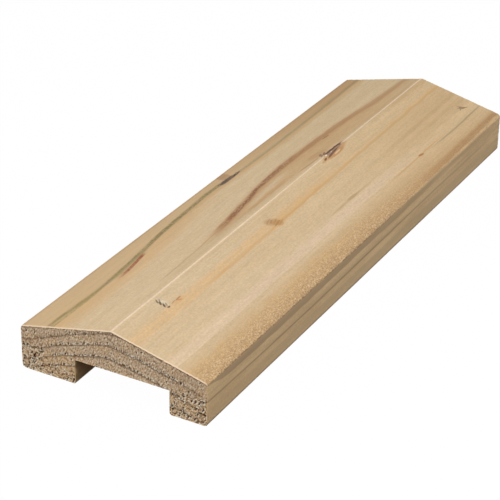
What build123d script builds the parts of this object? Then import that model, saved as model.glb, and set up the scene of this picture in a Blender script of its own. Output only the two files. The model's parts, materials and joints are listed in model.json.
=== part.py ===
"""Timber capping board for the top of a fence, as one planed piece of stock.

The board is a single prism. Its top falls from a central ridge to an eave along
each edge, so that rain runs off, and its underside is ploughed with one square
groove that drops over the head of the fence. The groove isn't central: the foot
on the left of it is the wider one. All sizes are in millimetres.

Frame: X across the board, Y along it, Z up. The origin is on the ground, in the
middle of the board's width and length, and both feet stand on Z = 0.
"""

from build123d import *
import os

# The stock
board_length = 300.0
board_width = 90.0
ridge_height = 31.0  # from the feet to the ridge, where the two slopes would meet
eave_height = 20.5  # the height of the two upright edges

# The groove that drops over the fence
groove_width = 45.0
groove_depth = 11.5
left_foot_width = 27.0  # the foot on the right takes what the groove leaves

# How far the planer and the sander ease each arris
ridge_easing = 2.0
eave_easing = 2.0
outer_foot_easing = 2.0
inner_foot_easing = 1.2
groove_corner_easing = 0.4
sawn_end_easing = 0.3

# Places across the section that more than one line of it needs
left_edge = -board_width / 2
right_edge = board_width / 2
groove_left = left_edge + left_foot_width
groove_right = groove_left + groove_width

# The section's corners, clockwise from the outer corner of the left foot
section_corners = {
    "left_foot_outer": (left_edge, 0),
    "left_eave": (left_edge, eave_height),
    "ridge": (0, ridge_height),
    "right_eave": (right_edge, eave_height),
    "right_foot_outer": (right_edge, 0),
    "right_foot_inner": (groove_right, 0),
    "groove_right_corner": (groove_right, groove_depth),
    "groove_left_corner": (groove_left, groove_depth),
    "left_foot_inner": (groove_left, 0),
}
corner_easings = {
    "left_foot_outer": outer_foot_easing,
    "left_eave": eave_easing,
    "ridge": ridge_easing,
    "right_eave": eave_easing,
    "right_foot_outer": outer_foot_easing,
    "right_foot_inner": inner_foot_easing,
    "groove_right_corner": groove_corner_easing,
    "groove_left_corner": groove_corner_easing,
    "left_foot_inner": inner_foot_easing,
}

with BuildPart() as capping_board:
    # The planed section, drawn square to the board's length
    with BuildSketch(Plane.XZ):
        with BuildLine():
            Polyline(*section_corners.values(), close=True)
        make_face()
        for corner_name, easing in corner_easings.items():
            corner = Vector(*section_corners[corner_name])
            fillet(vertices().sort_by_distance(corner)[0], radius=easing)
    # The board is sawn square to length, the same distance each side of the origin
    extrude(amount=board_length / 2, both=True)
    # Sandpaper takes the sharpness off the sawn ends
    sawn_ends = faces().filter_by(Axis.Y)
    chamfer(sawn_ends.edges(), length=sawn_end_easing)

capping_board.part.label = "capping_board"

os.makedirs("parts", exist_ok=True)
export_step(capping_board.part, "parts/capping_board.step")
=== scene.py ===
"""Looks of a planed timber capping board.

The board is one closed mesh. Its long faces are the section's outline carried along
the length, and its two sawn ends are patches stretched across that outline. Both
have real relief: raised grain, torn fibres, knots, cutter ripples, saw marks and the
cut pores of the end grain. The figure of the wood is painted by procedural materials
at named places. Places and sizes are in millimetres: along the board from the near
end, across it from the left edge, and up from the undersides of the feet.
"""

import json
import math

import bpy
import numpy as np
from mathutils import Matrix, Vector


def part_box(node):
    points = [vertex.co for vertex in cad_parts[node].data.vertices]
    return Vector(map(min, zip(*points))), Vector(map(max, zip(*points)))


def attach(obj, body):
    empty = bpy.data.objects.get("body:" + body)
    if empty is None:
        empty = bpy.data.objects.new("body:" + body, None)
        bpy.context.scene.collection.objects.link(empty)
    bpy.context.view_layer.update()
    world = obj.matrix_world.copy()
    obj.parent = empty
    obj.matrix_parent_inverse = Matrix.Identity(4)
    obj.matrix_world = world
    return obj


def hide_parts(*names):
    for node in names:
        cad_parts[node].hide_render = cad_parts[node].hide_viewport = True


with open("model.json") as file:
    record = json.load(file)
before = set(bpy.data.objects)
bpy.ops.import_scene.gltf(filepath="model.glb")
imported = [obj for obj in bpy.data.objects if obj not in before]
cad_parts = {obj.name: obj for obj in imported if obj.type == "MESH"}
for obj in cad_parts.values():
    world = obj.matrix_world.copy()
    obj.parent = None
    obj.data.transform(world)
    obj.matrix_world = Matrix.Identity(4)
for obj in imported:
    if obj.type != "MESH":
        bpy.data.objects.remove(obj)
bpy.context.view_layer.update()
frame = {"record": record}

MM = 0.001  # metres in a millimetre

# The board's sizes, from the frame
board_low, board_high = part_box("capping_board")
mounts = {mount["name"]: mount["pos_m"] for mount in frame["record"]["mounts"]}
WIDTH = (board_high.x - board_low.x) / MM
LENGTH = (board_high.y - board_low.y) / MM
GROOVE_DEPTH = mounts["groove_seat"][2] / MM
LEFT_FOOT = 2 * (mounts["wide_foot"][0] / MM + WIDTH / 2)
RIGHT_FOOT = 2 * (WIDTH / 2 - mounts["narrow_foot"][0] / MM)

# The sizes that the frame doesn't give
RIDGE_HEIGHT = 31.0  # where the two slopes would meet
EAVE_HEIGHT = 20.5
RIDGE_EASING = 2.0
EAVE_EASING = 2.0
OUTER_FOOT_EASING = 2.0
INNER_FOOT_EASING = 1.2
GROOVE_EASING = 0.4
END_EASING = 0.3

GROOVE_LEFT = LEFT_FOOT
GROOVE_RIGHT = WIDTH - RIGHT_FOOT
ROOF_RISE = (RIDGE_HEIGHT - EAVE_HEIGHT) / (WIDTH / 2)  # up for each millimetre across

# The section's corners, clockwise: across, up, and how far each arris is eased
CORNERS = {
    "left_foot_outer": (0, 0, OUTER_FOOT_EASING),
    "left_eave": (0, EAVE_HEIGHT, EAVE_EASING),
    "ridge": (WIDTH / 2, RIDGE_HEIGHT, RIDGE_EASING),
    "right_eave": (WIDTH, EAVE_HEIGHT, EAVE_EASING),
    "right_foot_outer": (WIDTH, 0, OUTER_FOOT_EASING),
    "right_foot_inner": (GROOVE_RIGHT, 0, INNER_FOOT_EASING),
    "groove_right": (GROOVE_RIGHT, GROOVE_DEPTH, GROOVE_EASING),
    "groove_left": (GROOVE_LEFT, GROOVE_DEPTH, GROOVE_EASING),
    "left_foot_inner": (GROOVE_LEFT, 0, INNER_FOOT_EASING),
}

# Dark growth rings of the section, each as points across and up
GROWTH_RINGS = {
    "ring_under_the_roof": (
        (0, 14.5), (4, 14.8), (8, 16.4), (14, 18.9), (20, 21.3), (30, 25.2), (36, 27.0), (43, 29.1),
        (49, 29.4), (56, 28.2), (72, 24.4), (90, 20.1)),
    "upper_ring": (
        (0, 11.4), (9, 12.2), (12, 13.2), (18, 16.0), (24, 18.0), (30, 20.0), (37, 22.2), (43, 23.5),
        (50, 22.6), (60, 20.8), (68, 18.6), (76, 17.0), (90, 12.4)),
    "lower_ring": (
        (0, 4.6), (8, 6.8), (15, 9.9), (22, 12.6), (28, 13.9), (34, 15.7), (43, 17.4), (50, 16.4),
        (58, 14.9), (66, 12.9), (78, 9.2), (90, 6.0)),
    "foot_ring": (
        (0, 0.6), (8, 3.2), (15, 5.6), (21, 7.4), (26, 8.6), (36, 10.9), (48, 11.0), (60, 8.6),
        (74, 4.6), (90, 1.0)),
}

# The largest pits torn into the near sawn end: from, to (across, up) and half the width
TORN_PITS = (
    ((6.0, 6.5), (7.0, 8.9), 0.42), ((4.7, 8.2), (5.8, 9.5), 0.30), ((0.8, 11.3), (1.9, 11.9), 0.40),
    ((2.7, 11.8), (3.5, 12.5), 0.34), ((9.4, 9.4), (10.3, 10.8), 0.28), ((25.8, 1.5), (26.4, 2.8), 0.38),
    ((25.9, 3.4), (26.3, 4.2), 0.30), ((9.8, 3.3), (10.6, 4.0), 0.38), ((73.1, 3.0), (74.1, 3.6), 0.40),
    ((86.2, 4.8), (87.1, 6.0), 0.30), ((87.7, 4.7), (88.6, 5.6), 0.40), ((89.0, 11.3), (89.8, 11.8), 0.34),
)

SOFT_CORE = 0.15  # the even share of a streak's width where the streak doesn't give its own


def long_streak(path, span, fade, widths, colour, cover, core=SOFT_CORE, wander=0.0, mottle=0.0):
    """A long soft line: the points of its path, where along the board it starts and ends, how
    slowly it fades in and out there, its widths before and after the path, its colour, how
    strongly it covers, the even share of its widths, how far it wanders and how mottled it is."""
    return {"path": path, "span": span, "fade": fade, "widths": widths, "colour": colour, "cover": cover,
            "core": core, "wander": wander, "mottle": mottle}


def short_stroke(start, finish, half_width, ragged, colour, cover, depth=0.0):
    """A short lens-shaped mark between two (along, across) points: half its width in the middle,
    how ragged its edge is, its colour, how strongly it covers and how deep it is."""
    return {"start": start, "finish": finish, "half_width": half_width, "ragged": ragged,
            "colour": colour, "cover": cover, "depth": depth}


STAIN_PATH = ((0, 13.7), (12, 14.1), (30, 15.3), (50, 14.7), (70, 12.9), (90, 10.6), (115, 8.6),
              (145, 7.3), (170, 8.8), (240, 9.0), (300, 7.7))

# Streaks on the top, each with a path of (along, across) points
TOP_STREAKS = {
    "tan_left_strip": long_streak(
        ((0, 13.0), (30, 14.5), (70, 12), (115, 8), (145, 6.8), (300, 7.8)),
        (-90, 390), (90, 90), (40, 2.0), (195, 163, 118), 0.86, wander=0.5, mottle=0.3),
    "brown_far_left_strip": long_streak(
        ((0, 6), (150, 6), (300, 6.5)),
        (105, 480), (195, 90), (40, 2.4), (176, 139, 94), 0.9, wander=0.4),
    "amber_inside_the_stain": long_streak(
        ((0, 17), (30, 18.5), (60, 17.5), (90, 14.5), (130, 11), (300, 10)),
        (-60, 165), (30, 80), (4.5, 10), (200, 161, 110), 0.75, wander=0.6, mottle=0.25),
    "amber_under_the_stain": long_streak(
        ((0, 13), (115, 10.2), (145, 9.4), (170, 10.6), (240, 10.9), (300, 9.8)),
        (60, 400), (60, 60), (1.6, 3.4), (192, 154, 104), 0.70, wander=0.4),
    "grey_stain": long_streak(
        STAIN_PATH,
        (-20, 330), (10, 30), (1.4, 1.4), (146, 121, 74), 0.80, core=0.25, wander=0.2, mottle=0.45),
    "grey_stain_heart": long_streak(
        STAIN_PATH,
        (12, 185), (60, 50), (2.0, 1.9), (122, 110, 64), 0.85, core=0.4, wander=0.2, mottle=0.6),
    "grey_stain_far": long_streak(
        ((170, 8.8), (240, 9.0), (300, 7.7)),
        (166, 420), (24, 60), (2.5, 2.1), (160, 134, 88), 0.62, core=0.2, wander=0.3, mottle=0.2),
    "grey_stain_thread": long_streak(
        ((0, 14.0), (14, 14.5), (30, 15.6), (50, 14.9), (70, 12.9), (300, 12.9)),
        (-20, 74), (10, 20), (0.95, 0.8), (126, 114, 72), 0.62, wander=0.15, mottle=0.5),
    "grey_stain_second_strand": long_streak(
        ((0, 15.9), (14, 16.0), (30, 16.1), (44, 15.6), (300, 15.6)),
        (-20, 46), (10, 22), (1.9, 1.5), (150, 132, 80), 0.88, core=0.4, wander=0.15, mottle=0.55),
    "grey_stain_swell": long_streak(
        ((40, 16.0), (50, 15.8), (60, 15.3), (70, 14.0), (84, 12.0)),
        (38, 88), (16, 20), (1.6, 1.5), (158, 138, 90), 0.75, core=0.4, wander=0.1, mottle=0.4),
    "red_streak": long_streak(
        ((40, 18.0), (53, 17.7), (60, 16.9), (68, 15.6), (74, 14.6), (80, 13.8)),
        (44, 75), (12, 5), (1.25, 1.1), (144, 70, 44), 0.95, core=0.5, wander=0.1, mottle=0.25),
    "olive_far_strip": long_streak(
        ((0, 42.4), (300, 42.4)),
        (190, 400), (60, 60), (1.4, 1.2), (176, 156, 120), 0.45, wander=0.2),
    "tan_band_by_the_ridge": long_streak(
        ((0, 42), (90, 40), (110, 37.5), (130, 34.5), (145, 32), (160, 30.5), (180, 29.5), (220, 30.3),
         (240, 31.6), (262, 34), (300, 36)),
        (128, 420), (60, 220), (1.5, 15), (188, 152, 105), 0.85, core=0.6, wander=0.4),
    "dull_band_by_the_ridge": long_streak(
        ((0, 41.5), (300, 41.5)),
        (30, 160), (40, 40), (6, 3), (190, 164, 126), 0.5, core=0.3, wander=0.5),
    "orange_stripe_by_the_ridge": long_streak(
        ((100, 39.2), (155, 39.0), (200, 38.0)),
        (108, 175), (22, 26), (2.0, 2.2), (184, 143, 94), 0.85, wander=0.4),
    "pale_lens": long_streak(
        ((120, 36.8), (135, 35.8), (150, 35.0), (170, 33.0), (185, 31.5)),
        (122, 176), (16, 20), (1.8, 2.4), (201, 178, 142), 0.75, wander=0.3),
    "brown_streak_haze": long_streak(
        ((0, 40.4), (50, 40.0), (70, 39.6), (85, 38.8), (100, 37.4), (115, 36.0), (130, 33.8),
         (145, 31.4), (160, 29.8), (180, 29.1), (200, 29.3), (220, 30.0), (240, 31.3), (262, 33.8),
         (280, 35.2), (300, 36.2)),
        (78, 420), (34, 240), (5.2, 4.8), (182, 143, 96), 0.78, wander=0.3),
    "brown_streak": long_streak(
        ((0, 39.9), (50, 39.5), (70, 38.8), (85, 37.9), (100, 36.4), (115, 34.6), (122, 33.4),
         (130, 32.5), (138, 31.5), (146, 29.8), (156, 28.9), (170, 28.0), (185, 27.8), (200, 28.2),
         (220, 29.0), (240, 30.4), (262, 33.0), (280, 34.3), (300, 35.2)),
        (90, 420), (18, 260), (2.1, 3.2), (156, 110, 70), 0.82, core=0.4, wander=0.45, mottle=0.35),
    "brown_streak_heart": long_streak(
        ((98, 37.0), (115, 35.2), (125, 33.8), (135, 32.4), (150, 29.8), (165, 28.8), (200, 28.8),
         (230, 30.3)),
        (98, 215), (24, 80), (1.8, 1.7), (118, 72, 42), 0.80, core=0.4, wander=0.7, mottle=0.9),
    "thin_start_of_the_brown_streak": long_streak(
        ((40, 39.0), (55, 38.8), (75, 38.2), (90, 37.2), (110, 36.0)),
        (40, 112), (20, 15), (0.6, 0.8), (176, 140, 98), 0.6, wander=0.2),
    "ridge_highlight": long_streak(
        ((0, 44.9), (100, 44.7), (180, 44.3), (300, 44.3)),
        (-20, 330), (5, 5), (0.75, 0.75), (233, 208, 180), 0.85),
    "amber_band": long_streak(
        ((0, 57.6), (60, 57.2), (120, 56.6), (150, 56.1), (200, 55.5), (300, 54.7)),
        (-60, 210), (20, 90), (5.6, 0.8), (216, 175, 124), 0.60, core=0.6, wander=0.35, mottle=0.25),
    "amber_band_middle": long_streak(
        ((100, 56.6), (120, 56.4), (150, 55.9), (200, 55.3)),
        (112, 190), (14, 50), (4.2, 0.9), (200, 156, 98), 0.45, core=0.3, wander=0.4, mottle=0.4),
    "amber_band_far": long_streak(
        ((0, 57.2), (60, 57.0), (120, 56.3), (150, 55.6), (200, 55.0), (300, 54.4)),
        (110, 360), (70, 20), (3.0, 0.8), (210, 170, 116), 0.52, wander=0.5, mottle=0.4),
    "amber_band_edge": long_streak(
        ((0, 57.2), (60, 57.0), (120, 56.3), (150, 55.8), (200, 55.2), (300, 54.4)),
        (50, 360), (20, 40), (1.3, 0.7), (192, 146, 88), 0.54, core=0.3, wander=0.35, mottle=0.5),
    "pink_band": long_streak(
        ((0, 75.4), (200, 75.6), (300, 76.2)),
        (-60, 262), (50, 100), (5.4, 1.0), (216, 190, 160), 0.70, core=0.6, wander=0.3),
    "orange_thread": long_streak(
        ((180, 77.4), (195, 77.3), (225, 77.2), (240, 77.0), (262, 77.4)),
        (186, 262), (22, 22), (0.6, 0.5), (200, 146, 84), 0.75, wander=0.1, mottle=0.3),
    "grey_thread": long_streak(
        ((230, 77.6), (243, 78.2), (262, 78.7), (292, 78.4), (300, 78.4)),
        (234, 312), (22, 26), (0.7, 0.8), (152, 134, 100), 0.7, wander=0.1),
    "faint_thread": long_streak(
        ((200, 63.9), (260, 63.5), (300, 63.0)),
        (190, 330), (60, 30), (1.6, 1.8), (184, 152, 108), 0.5, wander=0.3),
    "second_faint_thread": long_streak(
        ((200, 68.3), (260, 67.9), (300, 67.6)),
        (220, 305), (40, 26), (1.4, 1.4), (184, 152, 108), 0.45, wander=0.3),
    "amber_far_right": long_streak(
        ((150, 62), (300, 62)),
        (180, 420), (90, 60), (12, 14), (192, 158, 112), 0.4, core=0.5, wander=0.6),
    "fuzzy_strip": long_streak(
        ((0, 91), (300, 90.5)),
        (-90, 390), (60, 240), (14, 3), (188, 150, 103), 0.80, wander=0.8),
    "woolly_amber": long_streak(
        ((0, 82.5), (150, 83.2), (300, 84)),
        (-60, 190), (20, 70), (4.5, 3.5), (198, 156, 100), 0.40, wander=1.0, mottle=0.4),
    "brown_eave_stripe": long_streak(
        ((100, 89.0), (200, 88.7), (290, 88.1), (300, 88.0)),
        (148, 420), (112, 90), (4.2, 1.2), (156, 110, 58), 0.74, wander=0.3, mottle=0.25),
    # Painted highlight along the right eave's rounded arris
    "right_eave_highlight": long_streak(
        ((0, 90), (300, 90)),
        (-20, 330), (5, 5), (0.9, 0.6), (230, 188, 132), 0.85, wander=0.25, mottle=0.85),
    # Painted shade along the left eave's rounded arris, which turns away from the light
    "left_eave_shade": long_streak(
        ((0, 0.8), (300, 0.8)),
        (-20, 330), (5, 5), (3.0, 2.4), (158, 120, 80), 0.42, core=0.25, wander=0.1),
}

# Short marks on the top: pitch, knots, ticks, flecks, smears and a star
TOP_STROKES = {
    "pitch_halo": short_stroke((158.5, 9.5), (164.0, -2.5), 4.0, 0.5, (156, 118, 82), 0.62),
    "pitch_pocket": short_stroke((148, 7.9), (169.5, 8.3), 1.75, 0.6, (104, 84, 68), 0.95, 0.25),
    "pitch_dark_near": short_stroke((152, 7.6), (160, 7.4), 1.0, 0.6, (82, 66, 58), 0.7, 0.1),
    "pitch_dark_far": short_stroke((162.5, 9.0), (166.5, 7.7), 0.7, 0.3, (72, 56, 48), 0.8, 0.1),
    "pitch_tip": short_stroke((165, 9.0), (170, 8.2), 0.6, 0.2, (96, 72, 62), 0.8),
    "knot_shade": short_stroke((183, 38.0), (200, 41.0), 3.0, 0.9, (172, 132, 88), 0.45),
    "knot_tail": short_stroke((166, 40.6), (191, 41.9), 0.7, 0.4, (164, 124, 82), 0.6),
    "knot_hair_middle": short_stroke((187.6, 42.9), (191.6, 41.6), 0.6, 0.4, (128, 92, 66), 0.8),
    "knot_branch": short_stroke((181.5, 46.6), (187.4, 46.4), 0.7, 0.6, (186, 142, 92), 0.7),
    "knot_amber": short_stroke((183, 45.9), (211, 44.8), 2.5, 0.6, (190, 146, 98), 0.85),
    "knot_amber_rim": short_stroke((187, 46.8), (206, 46.2), 1.9, 0.3, (186, 138, 88), 0.9, 0.05),
    "knot_heart": short_stroke((187, 44.2), (209, 43.6), 2.0, 0.4, (152, 120, 96), 0.95, 0.30),
    "knot_upper_edge": short_stroke((189.5, 42.6), (211, 43.1), 0.85, 0.35, (94, 64, 50), 0.95, 0.25),
    "knot_upper_spot": short_stroke((199.5, 43.5), (208, 43.0), 0.9, 0.3, (98, 66, 52), 0.9, 0.2),
    "knot_lower_edge": short_stroke((187.5, 46.5), (203, 44.2), 0.75, 0.3, (106, 74, 58), 0.9, 0.15),
    "knot_hair_near": short_stroke((188.2, 41.8), (192.4, 40.3), 0.8, 0.4, (132, 98, 74), 0.85),
    "knot_hair_far": short_stroke((190.2, 42.7), (195, 40.9), 0.7, 0.4, (124, 88, 66), 0.85),
    "knot_pale_heart": short_stroke((194.0, 46.9), (201.0, 46.5), 0.55, 0.1, (216, 188, 146), 0.9),
    "knot_grain": short_stroke((194.8, 44.5), (197.5, 43.2), 0.42, 0.1, (208, 182, 158), 0.85),
    "knot_dark_spot": short_stroke((184.8, 46.2), (188.2, 45.5), 0.55, 0.3, (110, 68, 48), 0.9, 0.15),
    "knot_chip": short_stroke((188.8, 44.9), (192.6, 43.0), 0.65, 0.2, (236, 216, 190), 0.95),
    "tick_pale_patch": short_stroke((31.9, 46.0), (32.6, 53.0), 1.1, 0.4, (212, 200, 176), 0.75),
    "tick_first": short_stroke((29.9, 48.9), (31.7, 46.4), 0.54, 0.3, (108, 90, 72), 0.8, 0.25),
    "tick_second": short_stroke((29.6, 50.5), (32.0, 48.0), 0.62, 0.3, (94, 76, 58), 0.9, 0.3),
    "tick_third": short_stroke((29.8, 52.4), (31.8, 49.7), 0.64, 0.3, (92, 74, 56), 0.9, 0.3),
    "tick_fourth": short_stroke((30.2, 52.8), (32.4, 53.1), 0.55, 0.3, (96, 80, 64), 0.9, 0.3),
    "tick_second_row_first": short_stroke((31.3, 48.8), (32.9, 47.2), 0.45, 0.3, (150, 128, 102), 0.8, 0.15),
    "tick_second_row_second": short_stroke((31.2, 52.4), (32.8, 50.4), 0.5, 0.3, (142, 122, 98), 0.8, 0.15),
    "orange_fleck_first": short_stroke((36.6, 52.9), (41.6, 52.6), 0.42, 0.5, (164, 104, 54), 0.85),
    "orange_fleck_second": short_stroke((37.6, 53.3), (40.4, 54.2), 0.42, 0.5, (166, 108, 58), 0.8),
    "orange_fleck_third": short_stroke((33.6, 52.9), (37.4, 52.4), 0.32, 0.4, (180, 128, 76), 0.75),
    "orange_fleck_haze": short_stroke((34, 53.8), (43, 53.6), 1.2, 0.6, (204, 158, 104), 0.4),
    "brown_knot_shade": short_stroke((114.4, 51.2), (124.8, 56.2), 2.9, 0.7, (182, 144, 100), 0.66, 0.05),
    "brown_knot_amber": short_stroke((118.0, 53.4), (123.6, 57.6), 2.4, 0.8, (184, 139, 82), 0.62),
    "brown_knot_first": short_stroke((115.6, 52.5), (120.6, 51.3), 0.48, 0.8, (150, 110, 74), 0.4, 0.1),
    "brown_knot_second": short_stroke((117.2, 53.6), (121.8, 52.0), 0.55, 1.1, (142, 104, 70), 0.4, 0.1),
    "brown_knot_third": short_stroke((118.6, 54.8), (124.4, 53.0), 0.4, 1.1, (146, 106, 70), 0.32, 0.1),
    "brown_knot_fourth": short_stroke((117.6, 56.0), (124.0, 54.8), 0.55, 1.1, (144, 104, 68), 0.42, 0.1),
    "brown_knot_fifth": short_stroke((120.0, 56.8), (125.6, 55.7), 0.45, 0.8, (158, 116, 74), 0.35, 0.1),
    "grey_smear": short_stroke((162, 69.8), (173, 70.2), 0.9, 0.9, (160, 132, 94), 0.6),
    "grey_smear_haze": short_stroke((140, 70.2), (192, 70.2), 0.7, 0.8, (184, 154, 114), 0.6),
    "orange_spot": short_stroke((226.0, 76.8), (231.4, 77.6), 0.75, 0.3, (174, 112, 54), 0.85, 0.1),
    "grey_star_middle": short_stroke((286.8, 71.8), (291.0, 73.4), 1.25, 0.8, (140, 112, 80), 0.8, 0.1),
    "grey_star_up": short_stroke((288.0, 69.6), (289.4, 72.2), 0.4, 0.4, (150, 122, 90), 0.7),
    "grey_star_left": short_stroke((285.0, 73.2), (288.6, 72.5), 0.4, 0.4, (148, 120, 88), 0.7),
    "grey_star_upper_left": short_stroke((285.8, 70.9), (288.8, 72.4), 0.4, 0.4, (156, 128, 94), 0.65),
    "grey_star_right": short_stroke((289.4, 72.9), (292.4, 74.4), 0.5, 0.4, (134, 106, 76), 0.70, 0.1),
    "small_double_streak": short_stroke((210.5, 31.2), (218.5, 31.8), 0.6, 0.4, (134, 94, 64), 0.8),
}

# Streaks on the right side, each with a path of (along, down from the eave) points
SIDE_STREAKS = {
    "grey_upper_band": long_streak(
        ((0, 0.4), (4, 1.3), (10, 2.8), (18, 3.9), (28, 4.2), (150, 3.9), (300, 3.2)),
        (-120, 340), (60, 230), (8, 0.8), (176, 148, 115), 0.95, wander=0.2, mottle=0.12),
    "arris_shade": long_streak(
        ((0, 0.7), (300, 0.7)),
        (-120, 240), (60, 90), (0.7, 0.8), (134, 108, 80), 0.85, core=0.3, wander=0.2, mottle=0.5),
    "dark_line": long_streak(
        ((0, 8.5), (30, 9.2), (80, 9.5), (130, 9.2), (190, 8.6), (230, 8.4), (300, 8.8)),
        (-20, 350), (10, 220), (0.8, 0.8), (164, 131, 101), 0.9, wander=0.12, mottle=0.3),
    "lower_shade": long_streak(
        ((0, 13.8), (150, 13.7), (300, 13.4)),
        (-90, 390), (30, 30), (1.1, 9), (201, 171, 132), 0.7, wander=0.1),
    "near_end_shade": long_streak(
        ((0, 14), (300, 14)),
        (-60, 75), (20, 62), (5.5, 8), (206, 174, 130), 0.6, core=0.5, wander=0.1),
    # Painted shade along the foot's arris at the bottom of the side, where it curves under
    "foot_edge_shade": long_streak(
        ((0, 18.9), (300, 18.9)),
        (-20, 330), (5, 5), (0.8, 4), (136, 106, 76), 0.7, core=0.3, wander=0.1),
}


NOISE_LATTICE = 256  # random numbers each way, before the noise repeats
DOT_LATTICE = 128  # the same for the cells of scattered dots
STROKE_EDGE = 0.6  # how softly a stroke's edge fades
ARRIS_STEPS = 16  # points on an arris's arc


def smooth_step(value, low, high):
    """0 below low, 1 above high, and an S-shaped ramp of 3t^2 - 2t^3 between them."""
    t = np.clip((value - low) / (high - low), 0, 1)
    return t * t * (3 - 2 * t)


def value_noise(a, b, cell_a, cell_b, seed):
    """Even noise from 0 to 1: random numbers on a lattice, blended smoothly across each cell."""
    size = NOISE_LATTICE
    lattice = np.random.RandomState(seed).random_sample((size, size))
    u, v = a / cell_a + size, b / cell_b + size
    i, j = np.floor(u).astype(int), np.floor(v).astype(int)
    share_u, share_v = smooth_step(u - i, 0, 1), smooth_step(v - j, 0, 1)
    i0, i1, j0, j1 = i % size, (i + 1) % size, j % size, (j + 1) % size
    low = lattice[i0, j0] * (1 - share_u) + lattice[i1, j0] * share_u
    high = lattice[i0, j1] * (1 - share_u) + lattice[i1, j1] * share_u
    return low * (1 - share_v) + high * share_v


def scattered_dots(a, b, cell, share, reach, seed):
    """Round dots, at most one to a cell: each cell has a random centre and a random size, and
    the value falls from 1 at the centre to 0 at the dot's edge. A cell is empty where its own
    random number is over the share."""
    size = DOT_LATTICE
    random = np.random.RandomState(seed).random_sample((4, size, size))
    u, v = a / cell + size, b / cell + size
    i0, j0 = np.floor(u).astype(int), np.floor(v).astype(int)
    dots = np.zeros_like(u)
    for i, j in ((i0 + di, j0 + dj) for di in (-1, 0, 1) for dj in (-1, 0, 1)):
        shift_u, shift_v, own_size, chance = random[:, i % size, j % size]
        away = np.hypot(u - i - shift_u, v - j - shift_v) / (reach * (0.6 + 0.8 * own_size))
        dots = np.maximum(dots, np.where(chance < share, 1 - smooth_step(away, 0.35, 1), 0))
    return dots


def stroke_shape(a, b, start, finish, half_width, ragged=0.0):
    """A lens between two points: one less the squares of how far along it and how far beside
    it a point lies, in half lengths and half widths, with a ragged amount added."""
    start, finish = np.array(start, float), np.array(finish, float)
    middle, reach = (start + finish) / 2, (finish - start) / 2
    half_length = np.linalg.norm(reach)
    along = ((a - middle[0]) * reach[0] + (b - middle[1]) * reach[1]) / half_length**2
    beside = ((b - middle[1]) * reach[0] - (a - middle[0]) * reach[1]) / half_length / half_width
    return smooth_step(1 - along**2 - beside**2 + ragged, 0, STROKE_EDGE)


def arris(before, corner, after, radius):
    """Arc that eases a corner. It touches the side before and the side after, each
    radius times tan(half the turn) away from the corner, and turns about its centre."""
    into = (corner - before) / np.linalg.norm(corner - before)
    out = (after - corner) / np.linalg.norm(after - corner)
    turn = math.atan2(into[0] * out[1] - into[1] * out[0], into @ out)
    start = corner - into * radius * math.tan(abs(turn) / 2)
    to_centre = math.copysign(radius, turn) * np.array([-into[1], into[0]])
    angle = turn * np.linspace(0, 1, ARRIS_STEPS)
    arm_x, arm_y = -to_centre
    turned = np.stack([arm_x * np.cos(angle) - arm_y * np.sin(angle),
                       arm_x * np.sin(angle) + arm_y * np.cos(angle)], axis=-1)
    return start + to_centre + turned


def eased_outline():
    """The whole outline as a dense clockwise line, and where in it each arris has its middle."""
    names = list(CORNERS)
    places = np.array([CORNERS[name][:2] for name in names], float)
    arcs, middles, count = [], {}, 0
    for k, name in enumerate(names):
        arcs.append(arris(places[k - 1], places[k], places[(k + 1) % len(names)], CORNERS[name][2]))
        middles[name] = count + len(arcs[-1]) // 2
        count += len(arcs[-1])
    return np.concatenate(arcs), middles


ARC_STEP = 0.5  # the outline's steps are shorter than this on an arris and longer elsewhere
ARC_SHARE = 2.2  # how many times more finely an arris is divided than a flat


def spaced(line, stops):
    """Points along a line, in len(stops) stretches. stops gives, for each stretch, the point of
    the line where it ends and how many steps it has. Steps are evenly long, but shorter by
    ARC_SHARE on an arris."""
    step = np.linalg.norm(np.diff(line, axis=0), axis=1)
    reached = np.concatenate([[0], np.cumsum(step * np.where(step < ARC_STEP, ARC_SHARE, 1.0))])
    ends = [0] + [np.interp(stop, np.arange(len(line)), reached) for stop, _ in stops]
    marks = [np.linspace(ends[k], ends[k + 1], stops[k][1] + 1)[:-1] for k in range(len(stops))]
    marks = np.concatenate(marks + [[ends[-1]]])
    return np.stack([np.interp(marks, reached, values) for values in line.T], axis=-1)


# How finely a sawn end is divided: steps up a side, and steps across each stretch of the top
# and the underside, all even numbers. The long faces have half as many.
SIDE_STEPS = 56
STRETCH_STEPS = {"left_foot": 68, "left_wall": 20, "ceiling": 128, "right_wall": 20, "right_foot": 44}
WALL_SPREAD = 5.0  # how much of the top goes with each wall of the groove


def outline_runs():
    """The outline's points in four runs: left side, top, right side and underside. The top
    and the underside have as many steps, so that a sawn end can be stretched between them."""
    line, middle = eased_outline()
    closed = np.concatenate([line, line[: middle["left_foot_outer"] + 1]])

    def between(first, last):
        return closed[middle[first] : middle[last] + 1]

    left = between("left_foot_outer", "left_eave")
    right = between("right_eave", "right_foot_outer")
    top = between("left_eave", "right_eave")
    under = closed[middle["right_foot_outer"] :]
    breaks = [GROOVE_LEFT - WALL_SPREAD, GROOVE_LEFT, GROOVE_RIGHT, GROOVE_RIGHT + WALL_SPREAD, top[-1, 0]]
    top_stops = np.interp(breaks, top[:, 0], np.arange(len(top)))
    inner = ("right_foot_inner", "groove_right", "groove_left", "left_foot_inner")
    under_stops = [middle[name] - middle["right_foot_outer"] for name in inner] + [len(under) - 1]
    steps = list(STRETCH_STEPS.values())
    return (spaced(left, [(len(left) - 1, SIDE_STEPS)]),
            spaced(top, list(zip(top_stops, steps))),
            spaced(right, [(len(right) - 1, SIDE_STEPS)]),
            spaced(under, list(zip(under_stops, steps[::-1]))))


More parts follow.
